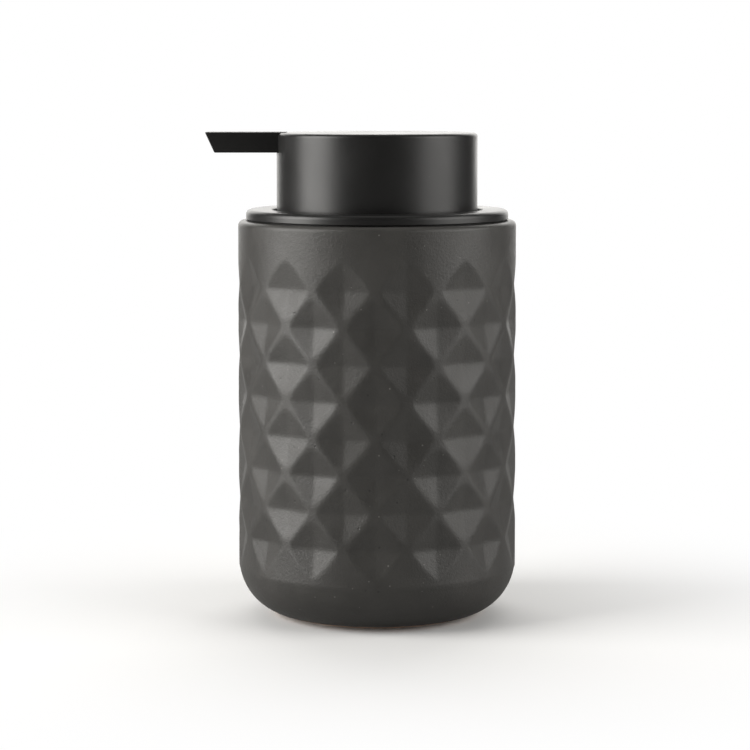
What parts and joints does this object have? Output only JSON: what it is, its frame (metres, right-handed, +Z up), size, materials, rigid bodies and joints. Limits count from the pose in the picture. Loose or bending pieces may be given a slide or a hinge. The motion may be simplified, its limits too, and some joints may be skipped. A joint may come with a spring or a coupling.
{
  "type": "soap pump dispenser",
  "caption": "Round ceramic soap dispenser with a relief of hollow diamonds and a black push-in pump: drum-shaped press head, flat slant-tipped spout and flanged collar.",
  "frame": {"origin": "centre of the foot, on the surface that the bottle stands on", "axes": "+Z up along the bottle's axis; the spout points along -X; the front is -Y"},
  "size_m": [0.0836, 0.0754, 0.1303],
  "materials": {
    "stoneware": "satin-matte dark grey glaze over stoneware, bare clay at the foot",
    "black_satin": "black satin moulding",
    "black_spout": "black fine-textured moulding",
    "black_rubber": "matte black silicone",
    "grey_rubber": "matte grey silicone",
    "natural_plastic": "milky natural polypropylene",
    "white_plastic": "white moulded plastic",
    "natural_tube": "milky soft tube",
    "stainless": "bright drawn stainless wire and ball steel"
  },
  "bodies": {
    "bottle": {"bottle": "stoneware"},
    "pump": {"collar": "black_satin", "flange_gasket": "black_rubber", "mouth_seal": "black_rubber", "pump_housing": "natural_plastic", "housing_gasket": "grey_rubber", "lock_nut": "white_plastic", "stem_guide": "white_plastic", "ball_retainer": "white_plastic", "dip_tube": "natural_tube", "return_spring": "stainless"},
    "plunger": {"stem": "white_plastic", "piston": "natural_plastic", "piston_rod": "white_plastic"},
    "head": {"head_cap": "black_satin", "head_core": "black_satin", "spout": "black_spout", "delivery_tube": "natural_tube"},
    "inlet_valve": {"inlet_ball": "stainless"},
    "outlet_valve": {"outlet_ball": "stainless"}
  },
  "joints": [
    {"name": "pump_lift", "type": "slide", "parent": "bottle", "child": "pump", "axis": [0, 0, 1], "range_m": [0, 0.11]},
    {"name": "pump_press", "type": "slide", "parent": "pump", "child": "plunger", "axis": [0, 0, -1], "range_m": [0, 0.012], "stiffness_N_per_m": 450, "springref_m": -0.012, "deforming": ["return_spring"]},
    {"name": "head_turn", "type": "hinge", "parent": "plunger", "child": "head", "pos_m": [0, 0, 0.115], "axis": [0, 0, 1], "continuous": true},
    {"name": "inlet_ball_lift", "type": "slide", "parent": "pump", "child": "inlet_valve", "axis": [0, 0, 1], "range_m": [0, 0.0015]},
    {"name": "outlet_ball_lift", "type": "slide", "parent": "plunger", "child": "outlet_valve", "axis": [0, 0, 1], "range_m": [0, 0.0012]}
  ]
}
